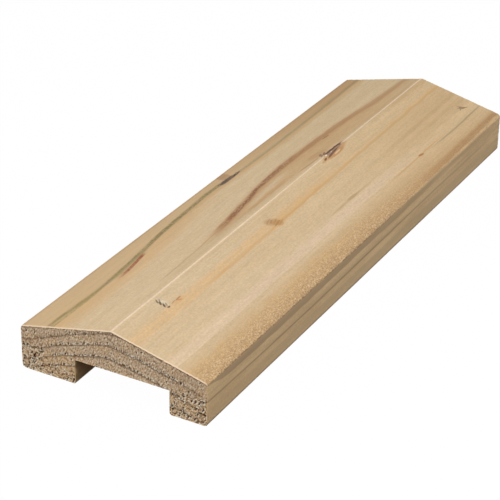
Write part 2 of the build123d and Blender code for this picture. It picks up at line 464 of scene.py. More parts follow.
# Where the rows of points lie along the board: closer together at the ends and the knots
BUSY_PLACES = ((1, 5), (28, 35), (114, 128), (149, 169), (184, 210), (284, 294), (295, 299))
OPEN_PACE = 2.4
BUSY_PACE = 0.9
PACE_CHANGE = 2.0  # over how long a stretch the pace changes
PACE_SAMPLES = 6001
COLLAR = 1.0  # how far from each end the finely divided rows reach


def row_places():
    """Distances along the board for the rows between the collars: the inverse of the summed-up
    density of rows, which is one for each OPEN_PACE, or for each BUSY_PACE in the busy places."""
    along = np.linspace(COLLAR, LENGTH - COLLAR, PACE_SAMPLES)
    busy = sum(smooth_step(along, low - PACE_CHANGE, low) - smooth_step(along, high, high + PACE_CHANGE)
               for low, high in BUSY_PLACES)
    density = 1 / OPEN_PACE + np.clip(busy, 0, 1) * (1 / BUSY_PACE - 1 / OPEN_PACE)
    summed = np.concatenate([[0], np.cumsum((density[1:] + density[:-1]) / 2 * np.diff(along))])
    return np.interp(np.linspace(0, summed[-1], int(summed[-1]) + 1), summed, along)


def fuzz_reach(along, across):
    """How woolly the strip beside the right eave is: from none inside it to 1 at the eave,
    and less towards the far end."""
    return smooth_step(across, 78, 88) * (1 - 0.6 * smooth_step(along, 190, 250))


CUTTER_PITCH = 2.6
CUTTER_RIPPLE = 0.02  # half of a ripple's depth
SPLINTER_DEPTH = 0.20


def long_face_depth(along, across, up, girth, facing_up):
    """How far in, in millimetres, each point of the long faces lies: raised grain from long
    thin noise, slow unevenness, the woolly strip by the right eave, the painted strokes' own
    depths, cutter ripples in the groove, and splinters off the arrises at the sawn ends."""
    grain = 0.035 * value_noise(along, girth, 22, 0.9, 3) + 0.02 * value_noise(along, girth, 9, 0.5, 4)
    uneven = 0.05 * value_noise(along, girth, 70, 16, 5)
    marks = 0.20 * fuzz_reach(along, across) * value_noise(along, across, 1.1, 0.8, 6)
    ragged = value_noise(along, across, 1.4, 0.7, 7) - 0.5
    for stroke in TOP_STROKES.values():
        shape = stroke_shape(along, across, stroke["start"], stroke["finish"], stroke["half_width"],
                             stroke["ragged"] * ragged)
        marks = marks + stroke["depth"] * shape
    on_top = smooth_step(facing_up, 0.6, 0.9)
    in_groove = (across > GROOVE_LEFT - 0.1) & (across < GROOVE_RIGHT + 0.1) & (up < GROOVE_DEPTH + 1)
    ripple = CUTTER_RIPPLE * (1 + np.cos(along * 2 * math.pi / CUTTER_PITCH))
    ripples = np.where(in_groove & (facing_up < -0.5), ripple, 0)
    to_end = np.minimum(along, LENGTH - along)
    by_end = 1 - smooth_step(to_end, 0.2, 1.8)
    splinters = SPLINTER_DEPTH * by_end * value_noise(along, girth, 0.8, 0.9, 9) ** 2
    return grain + uneven + marks * on_top + ripples + splinters


def coarse_grain_reach(across, up):
    """Where the sawn end's pores are large: in the left foot, in the right foot and low down."""
    left = (1 - smooth_step(across, 9, 14)) * (1 - smooth_step(up, 11.5, 15))
    low = 1 - smooth_step(up, 4.5, 8)
    right = smooth_step(across, 70, 76) * (1 - smooth_step(up, 12, 16))
    return np.maximum(np.maximum(left, low), 0.85 * right)


def above_ring(across, up, reach):
    """1 just above the nearest growth ring, falling to 0 at its reach above the ring and at
    the ring itself."""
    close = np.zeros_like(across)
    for ring in GROWTH_RINGS.values():
        height = up - np.interp(across, [p[0] for p in ring], [p[1] for p in ring])
        own = smooth_step(height, 0.0, 0.25) * (1 - smooth_step(height, 0.6 * reach, reach))
        close = np.maximum(close, own)
    return close


NEAR_END_SEED = 21
FAR_END_SEED = 61
SAW_PITCH = 1.7
SAW_DEPTH = 0.02
ROUGHNESS_DEPTH = 0.10
GLINT_HEIGHT = 0.05


def sawn_end_relief(across, up, near):
    """Depth in millimetres, pores and glints of each point of a sawn end. Pores are dark dots
    cut open, their dark partly painted shade in the pits: few and fine above, in rows over the
    growth rings and under the roof, and large in the feet, where the near end also has its torn
    pits. Glints are painted highlights on the fibre ends between them. The depth sums the pits of
    the pores, the saw's slanting marks and a fine roughness, and the glints stand a little proud."""
    seed = NEAR_END_SEED if near else FAR_END_SEED
    coarse = coarse_grain_reach(across, up)
    rows = above_ring(across, up, 1.3) * (1 - coarse)
    roof = RIDGE_HEIGHT - ROOF_RISE * np.abs(across - WIDTH / 2)
    under_roof = smooth_step(roof - up, 0.2, 0.5) * (1 - smooth_step(roof - up, 1.0, 1.8))
    fine = scattered_dots(across, up, 0.95, 0.10 + 0.50 * rows + 0.14 * under_roof, 0.42, seed)
    large = scattered_dots(across, up, 1.3, 0.60 * coarse, 0.34, seed + 1)
    small = scattered_dots(across, up, 0.9, 0.42 * coarse, 0.42, seed + 2)
    pores = np.maximum(np.maximum(0.75 * fine, large), 0.6 * small)
    glints = scattered_dots(across, up, 1.0, 0.26 + 0.40 * rows, 0.42, seed + 3)
    glints = np.maximum(0.55 * glints, scattered_dots(across, up, 1.5, 0.5 * coarse, 0.34, seed + 4))
    if near:
        for start, finish, half_width in TORN_PITS:
            pores = np.maximum(pores, 1.5 * stroke_shape(across, up, start, finish, 1.25 * half_width))
    glints = glints * (1 - np.clip(pores * 1.5, 0, 1))
    slant = across * 0.94 + up * 0.34 + 0.8 * value_noise(across, up, 14, 9, seed + 5)
    saw_marks = SAW_DEPTH * (0.5 + 0.5 * np.sin(slant * 2 * math.pi / SAW_PITCH))
    rough = ROUGHNESS_DEPTH * value_noise(across, up, 0.7, 0.6, seed + 6)
    pits = (0.22 + 0.10 * coarse) * pores
    return saw_marks + rough + pits + GLINT_HEIGHT * (1 - glints), pores, glints


# The layout map, in layout units: the outer faces are wider in it than the hidden
# ones, and the sawn ends are widest
OUTER_SPREAD = 1.35
HIDDEN_SPREAD = 0.6
END_SPREAD = 1.6
LAYOUT_GAP = 2.0
SIDE_PULL = 8  # the higher, the nearer to its sides a sawn end's points bend to follow them
RIM_STEPS = 2  # how many points in from its rim a sawn end's relief reaches its full depth


def grid_corners(number):
    """The four corners of each cell of a grid, in the order that turns along the second axis first."""
    corners = (number[:-1, :-1], number[:-1, 1:], number[1:, 1:], number[1:, :-1])
    return np.stack(corners, axis=-1).reshape(-1, 4)


def stitch_corners(first, second):
    """Three triangles for each cell between a row and one with twice as many points. Either
    row may be the finer one."""
    if len(first) > len(second):
        a, b, d, c0, c1 = first[:-2:2], first[1::2], first[2::2], second[:-1], second[1:]
        corners = ((a, b, c0), (b, d, c1), (b, c1, c0))
    else:
        a, b, d, c0, c1 = second[:-2:2], second[1::2], second[2::2], first[:-1], first[1:]
        corners = ((c0, c1, b), (c0, b, a), (c1, d, b))
    return np.concatenate([np.stack(three, axis=-1) for three in corners])


def board_parts():
    """The board's points, its faces, which of them are sawn, the faces' corners in the layout,
    and each point's pores and glints. The rows of the outline stand along the length. Each
    end's inner points are a blend of the underside and the top, bent towards the two sides."""
    left, top, right, under = outline_runs()
    outline = np.concatenate([left[:-1], top[:-1], right[:-1], under[:-1]])
    ahead, behind = np.roll(outline, -1, axis=0), np.roll(outline, 1, axis=0)
    heading = (ahead - behind) / np.linalg.norm(ahead - behind, axis=1, keepdims=True)
    outward = np.stack([-heading[:, 1], heading[:, 0]], axis=-1)
    girth = np.concatenate([[0], np.cumsum(np.linalg.norm(ahead - outline, axis=1))])
    outer = girth[len(left) + len(top) + len(right) - 3]
    outer_layout = outer * OUTER_SPREAD
    spread = np.interp(girth, [0, outer, girth[-1]],
                       [0, outer_layout, outer_layout + (girth[-1] - outer) * HIDDEN_SPREAD])

    points, layout, quads, triangles = [], [], [], []
    quad_layout, triangle_layout = [], []

    def keep(points_given, layout_given):
        """Numbers of the points and of the layout's places, as grids."""
        first, first_layout = sum(map(len, points)), sum(map(len, layout))
        points.append(points_given.reshape(-1, 3))
        layout.append(layout_given.reshape(-1, 2))
        return (first + np.arange(len(points[-1])).reshape(points_given.shape[:-1]),
                first_layout + np.arange(len(layout[-1])).reshape(layout_given.shape[:-1]))

    def long_rows(places, step):
        """Rows of every step-th point of the outline at places along the board."""
        along, across = np.meshgrid(places, outline[::step, 0], indexing="ij")
        up, own_girth, out_across, out_up = (
            np.broadcast_to(values[::step], along.shape)
            for values in (outline[:, 1], girth[:-1], outward[:, 0], outward[:, 1]))
        depth = long_face_depth(along, across, up, own_girth, out_up)
        depth = depth + np.where((along == 0) | (along == LENGTH), END_EASING, 0)
        shell = np.stack([across - depth * out_across, along, up - depth * out_up], axis=-1)
        u, v = np.meshgrid(spread[::step], places)
        number, place = keep(shell, np.stack([u, v], axis=-1))
        number = np.concatenate([number, number[:, :1]], axis=1)
        quads.append(grid_corners(number))
        quad_layout.append(grid_corners(place))
        return shell, number, place

    near_shell, near_number, near_place = long_rows(np.array([0, END_EASING]), 1)
    _, middle_number, middle_place = long_rows(row_places(), 2)
    far_shell, far_number, far_place = long_rows(np.array([LENGTH - END_EASING, LENGTH]), 1)
    triangles += [stitch_corners(near_number[-1], middle_number[0]),
                  stitch_corners(middle_number[-1], far_number[0])]
    triangle_layout += [stitch_corners(near_place[-1], middle_place[0]),
                        stitch_corners(middle_place[-1], far_place[0])]

    wide, high = len(top) - 1, len(left) - 1
    u = np.linspace(0, 1, wide + 1)[:, None, None]
    v = np.linspace(0, 1, high + 1)[None, :, None]
    pores, glints = np.zeros(sum(map(len, points))), np.zeros(sum(map(len, points)))
    long_quads = sum(map(len, quads))
    for near, shell, number in ((True, near_shell[0], near_number[0, :-1]),
                                (False, far_shell[-1], far_number[-1, :-1])):
        rim = {"left": np.arange(high + 1), "top": high + np.arange(wide + 1),
               "right": (high + wide + np.arange(high + 1))[::-1],
               "under": (2 * high + wide + np.arange(wide + 1))[::-1] % len(number)}
        edge = {name: shell[index][:, [0, 2]] for name, index in rim.items()}
        patch = (1 - v) * edge["under"][:, None] + v * edge["top"][:, None]
        for name, pull, end in (("left", (1 - u) ** SIDE_PULL, 0), ("right", u**SIDE_PULL, -1)):
            patch = patch + pull * (edge[name][None] - (1 - v) * patch[end, 0] - v * patch[end, -1])
        depth, dark, bright = sawn_end_relief(patch[..., 0], patch[..., 1], near)
        from_rim = np.minimum(np.minimum(u, 1 - u) * wide, np.minimum(v, 1 - v) * high)[..., 0]
        depth = depth * smooth_step(from_rim, 0, RIM_STEPS)
        place = depth if near else LENGTH - depth
        end = np.stack([patch[..., 0], place, patch[..., 1]], axis=-1)
        sideways = patch[..., 0] * END_SPREAD + (0 if near else WIDTH * END_SPREAD + LAYOUT_GAP)
        upwards = spread[-1] + LAYOUT_GAP + patch[..., 1] * END_SPREAD
        inner, corners = keep(end[1:-1, 1:-1], np.stack([upwards, sideways], axis=-1))
        index = np.empty((wide + 1, high + 1), int)
        index[1:-1, 1:-1] = inner
        index[0], index[-1] = number[rim["left"]], number[rim["right"]]
        index[:, 0], index[:, -1] = number[rim["under"]], number[rim["top"]]
        pores, glints = np.append(pores, dark[1:-1, 1:-1]), np.append(glints, bright[1:-1, 1:-1])
        pores[index], glints[index] = dark, bright
        quads.append(grid_corners(index.T if near else index))
        quad_layout.append(grid_corners(corners.T if near else corners))
    faces = sum((block.tolist() for block in quads + triangles), [])
    face_number = np.arange(len(faces))
    sawn = (face_number >= long_quads) & (face_number < sum(map(len, quads)))
    corner_places = np.concatenate([block.ravel() for block in quad_layout + triangle_layout])
    return {"points": np.concatenate(points), "faces": faces, "sawn": sawn,
            "layout": np.concatenate(layout)[corner_places], "pores": pores, "glints": glints}


def board_mesh():
    """The board's mesh, with its layout map, its pores and glints, and the sawn ends' own slot."""
    parts = board_parts()
    points = parts["points"] * MM + np.array([board_low.x, board_low.y, 0])
    mesh = bpy.data.meshes.new("timber_board")
    mesh.from_pydata(points.tolist(), [], parts["faces"])
    for name in ("pores", "glints"):
        mesh.attributes.new(name, "FLOAT", "POINT").data.foreach_set("value", parts[name])
    layout = parts["layout"] + LAYOUT_GAP
    layout = layout / (layout.max() + LAYOUT_GAP)
    mesh.uv_layers.new(name="OFBake").data.foreach_set("uv", layout.ravel())
    mesh.polygons.foreach_set("use_smooth", np.ones(len(parts["faces"]), bool))
    mesh.polygons.foreach_set("material_index", parts["sawn"].astype(int))
    mesh.update()
    return mesh


class Wiring:
    """Adds nodes to one tree. A value handed to it is a number, a colour or another node's output."""

    def __init__(self, tree):
        self.tree = tree

    def node(self, kind, **settings):
        made = self.tree.nodes.new(kind)
        for name, value in settings.items():
            setattr(made, name, value)
        return made

    def feed(self, socket, value):
        if isinstance(value, bpy.types.NodeSocket):
            self.tree.links.new(value, socket)
        elif value is not None:
            socket.default_value = value

    def maths(self, operation, first, second=None, clamp=False):
        made = self.node("ShaderNodeMath", operation=operation, use_clamp=clamp)
        self.feed(made.inputs[0], first)
        self.feed(made.inputs[1], second)
        return made.outputs[0]

    def times(self, first, *others):
        for other in others:
            first = self.maths("MULTIPLY", first, other)
        return first

    def plus(self, first, second):
        return self.maths("ADD", first, second)

    def minus(self, first, second):
        return self.maths("SUBTRACT", first, second)

    def over(self, first, second):
        return self.maths("DIVIDE", first, second)

    def larger(self, first, second):
        return self.maths("MAXIMUM", first, second)

    def ramp(self, value, low, high, start=0.0, finish=1.0):
        made = self.node("ShaderNodeMapRange", interpolation_type="SMOOTHSTEP")
        for socket, given in zip(made.inputs, (value, low, high, start, finish)):
            self.feed(socket, given)
        return made.outputs[0]

    def fall(self, value, low, high):
        return self.ramp(value, low, high, 1.0, 0.0)

    def blend(self, first, second, share, kind="MIX"):
        made = self.node("ShaderNodeMix", data_type="RGBA", blend_type=kind)
        self.feed(made.inputs[0], share)
        self.feed(made.inputs[6], first)
        self.feed(made.inputs[7], second)
        return made.outputs[2]

    def place(self, x, y, z):
        made = self.node("ShaderNodeCombineXYZ")
        for socket, value in zip(made.inputs, (x, y, z)):
            self.feed(socket, value)
        return made.outputs[0]

    def noise(self, where, scale=1.0, detail=2.0, roughness=0.5):
        made = self.node("ShaderNodeTexNoise")
        settings = {"Vector": where, "Scale": scale, "Detail": detail, "Roughness": roughness}
        for name, value in settings.items():
            self.feed(made.inputs[name], value)
        return made.outputs["Fac"]

    def attribute(self, name):
        return self.node("ShaderNodeAttribute", attribute_name=name).outputs["Fac"]

    def use(self, group, **values):
        made = self.node("ShaderNodeGroup", node_tree=group)
        for name, value in values.items():
            self.feed(made.inputs[name.replace("_", " ")], value)
        return made.outputs

    def path(self, travelled, points, travel_size, value_size):
        """A smooth curve through points, each a distance travelled and a value there."""
        made = self.node("ShaderNodeFloatCurve")
        curve = made.mapping.curves[0]
        places = [(p[0] / travel_size, p[1] / value_size) for p in points]
        curve.points[0].location = places[0]
        curve.points[-1].location = places[-1]
        for place in places[1:-1]:
            curve.points.new(*place)
        made.mapping.update()
        self.feed(made.inputs["Value"], self.maths("DIVIDE", travelled, travel_size))
        return self.maths("MULTIPLY", made.outputs[0], value_size)


def paint(red, green, blue):
    """A colour written as a display shows it, 0 to 255, made linear for the shader."""
    shown = np.array([red, green, blue]) / 255
    linear = np.where(shown <= 0.04045, shown / 12.92, ((shown + 0.055) / 1.055) ** 2.4)
    return (*linear.tolist(), 1.0)


def group(name, inputs, outputs):
    """An empty node group. inputs maps a name to the value it starts with, or to None for a vector."""
    made = bpy.data.node_groups.new(name, "ShaderNodeTree")
    for label, value in inputs.items():
        kind = "NodeSocketVector" if value is None else "NodeSocketFloat"
        socket = made.interface.new_socket(label, in_out="INPUT", socket_type=kind)
        if value is not None:
            socket.default_value = value
    for label in outputs:
        made.interface.new_socket(label, in_out="OUTPUT", socket_type="NodeSocketFloat")
    wiring = Wiring(made)
    given = wiring.node("NodeGroupInput").outputs
    handed_back = wiring.node("NodeGroupOutput").inputs
    return made, wiring, given, handed_back


def board_coordinates_group():
    """Millimetres along, across and up the board, and below the plane of its slope."""
    outputs = ("Along", "Across", "Up", "Below roof")
    made, w, given, back = group("Board coordinates", {"Place": None}, outputs)
    parts = w.node("ShaderNodeSeparateXYZ")
    w.feed(parts.inputs[0], given["Place"])
    across = w.minus(w.over(parts.outputs[0], MM), board_low.x / MM)
    along = w.minus(w.over(parts.outputs[1], MM), board_low.y / MM)
    up = w.over(parts.outputs[2], MM)
    from_ridge = w.maths("ABSOLUTE", w.minus(across, WIDTH / 2))
    roof = w.minus(RIDGE_HEIGHT, w.times(from_ridge, ROOF_RISE))
    below = w.minus(roof, up)
    for name, value in zip(outputs, (along, across, up, below)):
        w.feed(back[name], value)
    return made


def streak_group():
    """A soft line beside a path: full over the core, a share of the width on each side of the
    path, faded out over the rest, and faded in and out along the path."""
    inputs = {"Along": 0.0, "Across": 0.0, "Path": 0.0, "Start": 0.0, "Full from": 0.0, "Full to": 1.0,
              "Finish": 1.0, "Before": 1.0, "After": 1.0, "Core": 0.0}
    made, w, given, back = group("Streak", inputs, ("Mask",))
    off = w.minus(given["Across"], given["Path"])
    to_left, to_right = w.times(given["Before"], -1.0), given["After"]
    before = w.ramp(off, to_left, w.times(to_left, given["Core"]))
    after = w.fall(off, w.times(to_right, given["Core"]), to_right)
    start = w.ramp(given["Along"], given["Start"], given["Full from"])
    finish = w.fall(given["Along"], given["Full to"], given["Finish"])
    w.feed(back["Mask"], w.times(before, after, start, finish))
    return made


def stroke_group():
    """A lens-shaped mark with ragged edges: one less the squared distance from its middle, in
    half lengths along its own direction and half widths beside it, with the raggedness added
    before the edge is cut."""
    inputs = {"Along": 0.0, "Across": 0.0, "Middle along": 0.0, "Middle across": 0.0,
              "Direction along": 1.0, "Direction across": 0.0, "Half length": 1.0, "Half width": 1.0,
              "Ragged": 0.0}
    made, w, given, back = group("Stroke", inputs, ("Mask",))
    a = w.minus(given["Along"], given["Middle along"])
    b = w.minus(given["Across"], given["Middle across"])
    with_it = w.plus(w.times(a, given["Direction along"]), w.times(b, given["Direction across"]))
    beside = w.minus(w.times(b, given["Direction along"]), w.times(a, given["Direction across"]))
    with_it = w.maths("POWER", w.over(with_it, given["Half length"]), 2.0)
    beside = w.maths("POWER", w.over(beside, given["Half width"]), 2.0)
    inside = w.plus(w.minus(w.minus(1.0, with_it), beside), given["Ragged"])
    w.feed(back["Mask"], w.ramp(inside, 0.0, STROKE_EDGE))
    return made


# The grain's noises, each with the length and thickness of its marks and its detail
GRAIN_NOISES = {"Fibre": (9.0, 0.6, 3.0), "Fleck": (1.3, 0.75, 1.0), "Stripe": (110.0, 1.5, 1.0),
                "Cloud": (60.0, 4.5, 2.0), "Wander": (9.0, 3.0, 1.0)}


def fibre_group():
    """Grain that runs lengthwise: fine fibres, short flecks, long stripes, slow clouds and a
    slow sideways wander, each 0 to 1."""
    made, w, given, back = group("Fibres", {"Along": 0.0, "Across": 0.0, "Up": 0.0}, GRAIN_NOISES)
    for name, (length, thickness, detail) in GRAIN_NOISES.items():
        where = w.place(w.over(given["Across"], thickness), w.over(given["Along"], length),
                        w.over(given["Up"], thickness))
        w.feed(back[name], w.noise(where, 1.0, detail))
    return made


ROOF_RING_BAND = 0.3  # how strong the band over the ring under the roof is, beside the others


def growth_rings_group():
    """The section's growth rings, carried along the board: a line where the height is the
    ring's own height at that place across, and a band just above it, which is weaker over the
    ring under the roof."""
    inputs = {"Across": 0.0, "Up": 0.0, "Line width": 1.0}
    made, w, given, back = group("Growth rings", inputs, ("Line", "Band"))
    line, band = 0.0, 0.0
    for name, points in GROWTH_RINGS.items():
        above = w.minus(given["Up"], w.path(given["Across"], points, WIDTH, RIDGE_HEIGHT))
        width = given["Line width"]
        under_side = w.ramp(above, w.times(width, -0.6), w.times(width, -0.15))
        upper_side = w.fall(above, w.times(width, 0.1), w.times(width, 0.35))
        line = w.larger(line, w.times(under_side, upper_side))
        own_band = w.times(w.ramp(above, 0.0, 0.3), w.fall(above, 0.6, 1.6))
        strength = ROOF_RING_BAND if name == "ring_under_the_roof" else 1.0
        band = w.larger(band, w.times(own_band, strength))
    w.feed(back["Line"], line)
    w.feed(back["Band"], band)
    return made


def dots_group():
    """Scattered dots: one round each point of a cell pattern whose own random number is under
    the share, soft at its edge."""
    made, w, given, back = group("Dots", {"Place": None, "Share": 0.5, "Size": 0.3}, ("Mask",))
    cells = w.node("ShaderNodeTexVoronoi", feature="F1", voronoi_dimensions="3D")
    w.feed(cells.inputs["Vector"], given["Place"])
    w.feed(cells.inputs["Scale"], 1.0)
    random = w.node("ShaderNodeSeparateColor")
    w.feed(random.inputs[0], cells.outputs["Color"])
    own_size = w.times(given["Size"], w.plus(0.6, random.outputs[1]))
    dot = w.fall(cells.outputs["Distance"], w.times(own_size, 0.4), own_size)
    w.feed(back["Mask"], w.times(dot, w.maths("LESS_THAN", random.outputs[0], given["Share"])))
    return made


COORDINATES = board_coordinates_group()
STREAK = streak_group()
STROKE = stroke_group()
FIBRES = fibre_group()
RINGS = growth_rings_group()
DOTS = dots_group()

# Bare planed timber, as it shows in even light, with painted light and shade among them
NEAR_TIMBER = paint(206, 181, 145)
FAR_TIMBER = paint(202, 178, 140)
# Painted light: the far right slope is painted lighter than the left, for how light falls on it
FAR_RIGHT_LIT_TIMBER = paint(209, 181, 140)
HONEY_TIMBER = paint(200, 171, 130)
SIDE_TIMBER = paint(227, 195, 148)
SIDE_TIMBER_GREY = paint(211, 179, 135)
RING_BROWN = paint(160, 128, 92)
# Painted shade: the groove's darker brown
GROOVE_SHADE_BROWN = paint(128, 97, 63)
EAVE_SHADE = paint(156, 118, 76)
# Painted highlight and painted shade for the woolly strip's torn fibres and hollows
WOOL_HIGHLIGHT = paint(238, 212, 170)
WOOL_SHADE = paint(156, 114, 72)
# Sanded arris line, with a painted highlight
SANDED_ARRIS_HIGHLIGHT = paint(242, 216, 184)

# How strongly each of those covers at its fullest
HONEY_COVER = 0.38
RING_COVER = 0.6
RING_BAND_COVER = 0.5
GROOVE_SHADE_COVER = 0.9
EAVE_COVER = 0.55
WOOL_COVER = 0.62
SANDED_COVER = 0.8

# How much each kind of grain darkens and lightens the wood
GRAIN_CONTRAST = {"Fleck": 0.32, "Fibre": 0.20, "Stripe": 0.15, "Wander": 0.10}

MOTTLE_WEAK = 0.43  # the mottling at which a mottled streak is weakest
MOTTLE_FULL = 0.55  # and at which it is full


def streaked(w, colour, streaks, along, across, wander, where, broken, mottling):
    """colour with each streak laid over it, inside where, and slightly broken up by the fibres.
    A mottled streak covers less where the mottling is low."""
    for streak in streaks.values():
        path = w.path(along, streak["path"], LENGTH, WIDTH)
        wandering = w.plus(across, w.times(wander, streak["wander"]))
        start, finish = streak["span"]
        fade_in, fade_out = streak["fade"]
        before, after = streak["widths"]
        mask = w.use(STREAK, Along=along, Across=wandering, Path=path, Start=start, Finish=finish,
                     Full_from=start + fade_in, Full_to=finish - fade_out, Before=before, After=after,
                     Core=streak["core"])["Mask"]
        mask = w.times(mask, broken, where, streak["cover"])
        if streak["mottle"]:
            weakest = 1.0 - streak["mottle"]
            mask = w.times(mask, w.ramp(mottling, MOTTLE_WEAK, MOTTLE_FULL, weakest, 1.0))
        colour = w.blend(colour, paint(*streak["colour"]), mask)
    return colour


def stroked(w, colour, strokes, along, across, where, ragged):
    """colour with each ragged stroke laid over it, inside where."""
    for stroke in strokes.values():
        start, finish = Vector(stroke["start"]), Vector(stroke["finish"])
        middle, reach = (start + finish) / 2, (finish - start) / 2
        direction = reach.normalized()
        mask = w.use(STROKE, Along=along, Across=across, Middle_along=middle.x, Middle_across=middle.y,
                     Direction_along=direction.x, Direction_across=direction.y,
                     Half_length=reach.length, Half_width=stroke["half_width"],
                     Ragged=w.times(ragged, stroke["ragged"]))["Mask"]
        colour = w.blend(colour, paint(*stroke["colour"]), w.times(mask, where, stroke["cover"]))
    return colour


def bare_tree(owner):
    """The wiring of a material or a world, with no node in it yet."""
    owner.use_nodes = True
    owner.node_tree.nodes.clear()
    return Wiring(owner.node_tree)


def fresh_material(name):
    """A material with only its Principled BSDF and its output, and the board's coordinates."""
    made = bpy.data.materials.new(name)
    w = bare_tree(made)
    shader = w.node("ShaderNodeBsdfPrincipled")
    w.feed(w.node("ShaderNodeOutputMaterial").inputs["Surface"], shader.outputs[0])
    object_place = w.node("ShaderNodeTexCoord").outputs["Object"]
    return made, w, shader, w.use(COORDINATES, Place=object_place)


def feed_shader(w, shader, colour, roughness, specular, height, relief):
    """Gives the Principled BSDF its looks. height is in millimetres, and relief is how much of
    it shows."""
    bump = w.node("ShaderNodeBump")
    bump.inputs["Distance"].default_value = MM
    bump.inputs["Strength"].default_value = relief
    w.feed(bump.inputs["Height"], height)
    w.feed(shader.inputs["Base Color"], colour)
    w.feed(shader.inputs["Roughness"], roughness)
    w.feed(shader.inputs["Normal"], bump.outputs[0])
    shader.inputs["Specular IOR Level"].default_value = specular


def planed_timber():
    """The long faces: pale softwood with its streaks, knots and stains at their places on the
    top and the right side, growth rings on the other faces, fibres and flecks all over, a
    rough groove darkened brown by painted shade, and painted shade on the left side just under
    the eave."""
    made, w, shader, board = fresh_material("planed_timber")
    along, across, up = (board[name] for name in ("Along", "Across", "Up"))
    fibre = w.use(FIBRES, Along=along, Across=across, Up=up)
    wander = w.times(w.minus(fibre["Wander"], 0.5), 4.0)
    ragged = w.times(w.minus(fibre["Fleck"], 0.5), 2.2)
    broken = w.times(w.ramp(fibre["Fibre"], 0.25, 0.55, 0.86, 1.0),
                     w.ramp(fibre["Fleck"], 0.3, 0.6, 0.86, 1.0))

    # The top ends part of the way round each eave's arris, and raggedly at the right one
    torn_edge = w.times(ragged, w.ramp(across, WIDTH - 2.5, WIDTH - 0.8), 0.9)
    top = w.fall(w.plus(board["Below roof"], torn_edge), 0.55, 1.0)
    not_top = w.minus(1.0, top)
    right_side = w.times(w.ramp(across, WIDTH - 0.9, WIDTH - 0.5), not_top)
    mottling = w.plus(w.times(fibre["Fleck"], 0.4), w.times(fibre["Fibre"], 0.3))
    mottling = w.plus(mottling, w.times(fibre["Wander"], 0.3))
    cloud = w.ramp(fibre["Cloud"], 0.35, 0.65)

    # Painted light: from the ridge on, the far part of the right slope is painted lighter
    far_timber = w.blend(FAR_TIMBER, FAR_RIGHT_LIT_TIMBER, w.ramp(across, WIDTH / 2 - 1, WIDTH / 2 + 1))
    colour = w.blend(NEAR_TIMBER, far_timber, w.ramp(along, 60.0, 260.0))
    colour = w.blend(colour, HONEY_TIMBER, w.times(cloud, HONEY_COVER))
    colour = streaked(w, colour, TOP_STREAKS, along, across, wander, top, broken, mottling)
    colour = stroked(w, colour, TOP_STROKES, along, across, top, ragged)

    # The faces that the photograph doesn't show have growth rings, which drift up and down
    side = w.blend(SIDE_TIMBER, SIDE_TIMBER_GREY, cloud)
    hidden = w.minus(1.0, right_side)
    drift = w.times(w.minus(w.noise(w.place(0.0, w.over(along, 70.0), 0.0)), 0.5), 5.0)
    rising = w.plus(up, w.plus(drift, w.times(wander, 0.15)))
    rings = w.use(RINGS, Across=across, Up=rising, Line_width=1.6)
    side = w.blend(side, RING_BROWN, w.times(rings["Line"], hidden, RING_COVER))
    side = w.blend(side, HONEY_TIMBER, w.times(rings["Band"], hidden, RING_BAND_COVER))
    down = w.minus(EAVE_HEIGHT, up)
    side = streaked(w, side, SIDE_STREAKS, along, down, wander, right_side, broken, mottling)
    # Painted shade darkens the groove's faces
    in_groove = w.times(w.ramp(across, GROOVE_LEFT - 0.3, GROOVE_LEFT), not_top,
                        w.fall(across, GROOVE_RIGHT, GROOVE_RIGHT + 0.3))
    side = w.blend(side, GROOVE_SHADE_BROWN, w.times(in_groove, GROOVE_SHADE_COVER))
    by_left_eave = w.times(w.fall(across, 0.3, 1.2), w.ramp(up, EAVE_HEIGHT - 2.6, EAVE_HEIGHT - 1.2))
    side = w.blend(side, EAVE_SHADE, w.times(by_left_eave, EAVE_COVER))
    colour = w.blend(side, colour, top)

    # The strip beside the right eave is woolly: painted highlights where torn fibres catch the light,
    # and painted shade in the darker hollows between them
    strip = w.times(w.ramp(across, 76.0, 90.5), top, w.ramp(along, 150.0, 230.0, 1.0, 0.25))
    curl_place = w.place(w.over(across, 0.6), w.over(along, 0.8), w.over(up, 0.6))
    curl = w.noise(curl_place, 1.0, 2.0, 0.6)
    light = w.times(w.ramp(curl, 0.54, 0.62), strip)
    shaded_hollow = w.times(w.fall(curl, 0.37, 0.46), strip)
    colour = w.blend(colour, WOOL_SHADE, w.times(shaded_hollow, WOOL_COVER))
    colour = w.blend(colour, WOOL_HIGHLIGHT, w.times(light, WOOL_COVER))

    # The grain darkens and lightens everything a little
    shade = 1.0
    for part, strength in GRAIN_CONTRAST.items():
        shade = w.plus(shade, w.times(w.minus(fibre[part], 0.5), strength))
    colour = w.blend(colour, w.place(shade, shade, shade), 1.0, "MULTIPLY")

    # Sandpaper leaves a pale line along the arris at each sawn end, with a painted highlight on it
    to_end = w.maths("MINIMUM", along, w.minus(LENGTH, along))
    sanded_highlight_line = w.times(w.fall(to_end, 0.3, 0.75), top)
    colour = w.blend(colour, SANDED_ARRIS_HIGHLIGHT, w.times(sanded_highlight_line, SANDED_COVER))

    # Millimetres of relief that is too fine for the mesh
    fleck_height = w.times(fibre["Fleck"], w.plus(0.03, w.times(strip, 0.12)))
    height = w.plus(w.times(fibre["Fibre"], 0.05), fleck_height)
    height = w.plus(height, w.times(w.minus(light, shaded_hollow), 0.10))
    roughness = w.larger(w.ramp(fibre["Fibre"], 0.2, 0.8, 0.74, 0.62), in_groove)
    feed_shader(w, shader, colour, roughness, specular=0.25, height=height, relief=0.8)
    return made


END_GREY = paint(218, 190, 158)
END_TAN = paint(233, 194, 145)
END_STROKE = paint(134, 92, 56)
END_RING = paint(102, 67, 40)
# Dark of the pores: their own dark with painted shade in the pits
END_PORE_SHADE = paint(62, 30, 8)
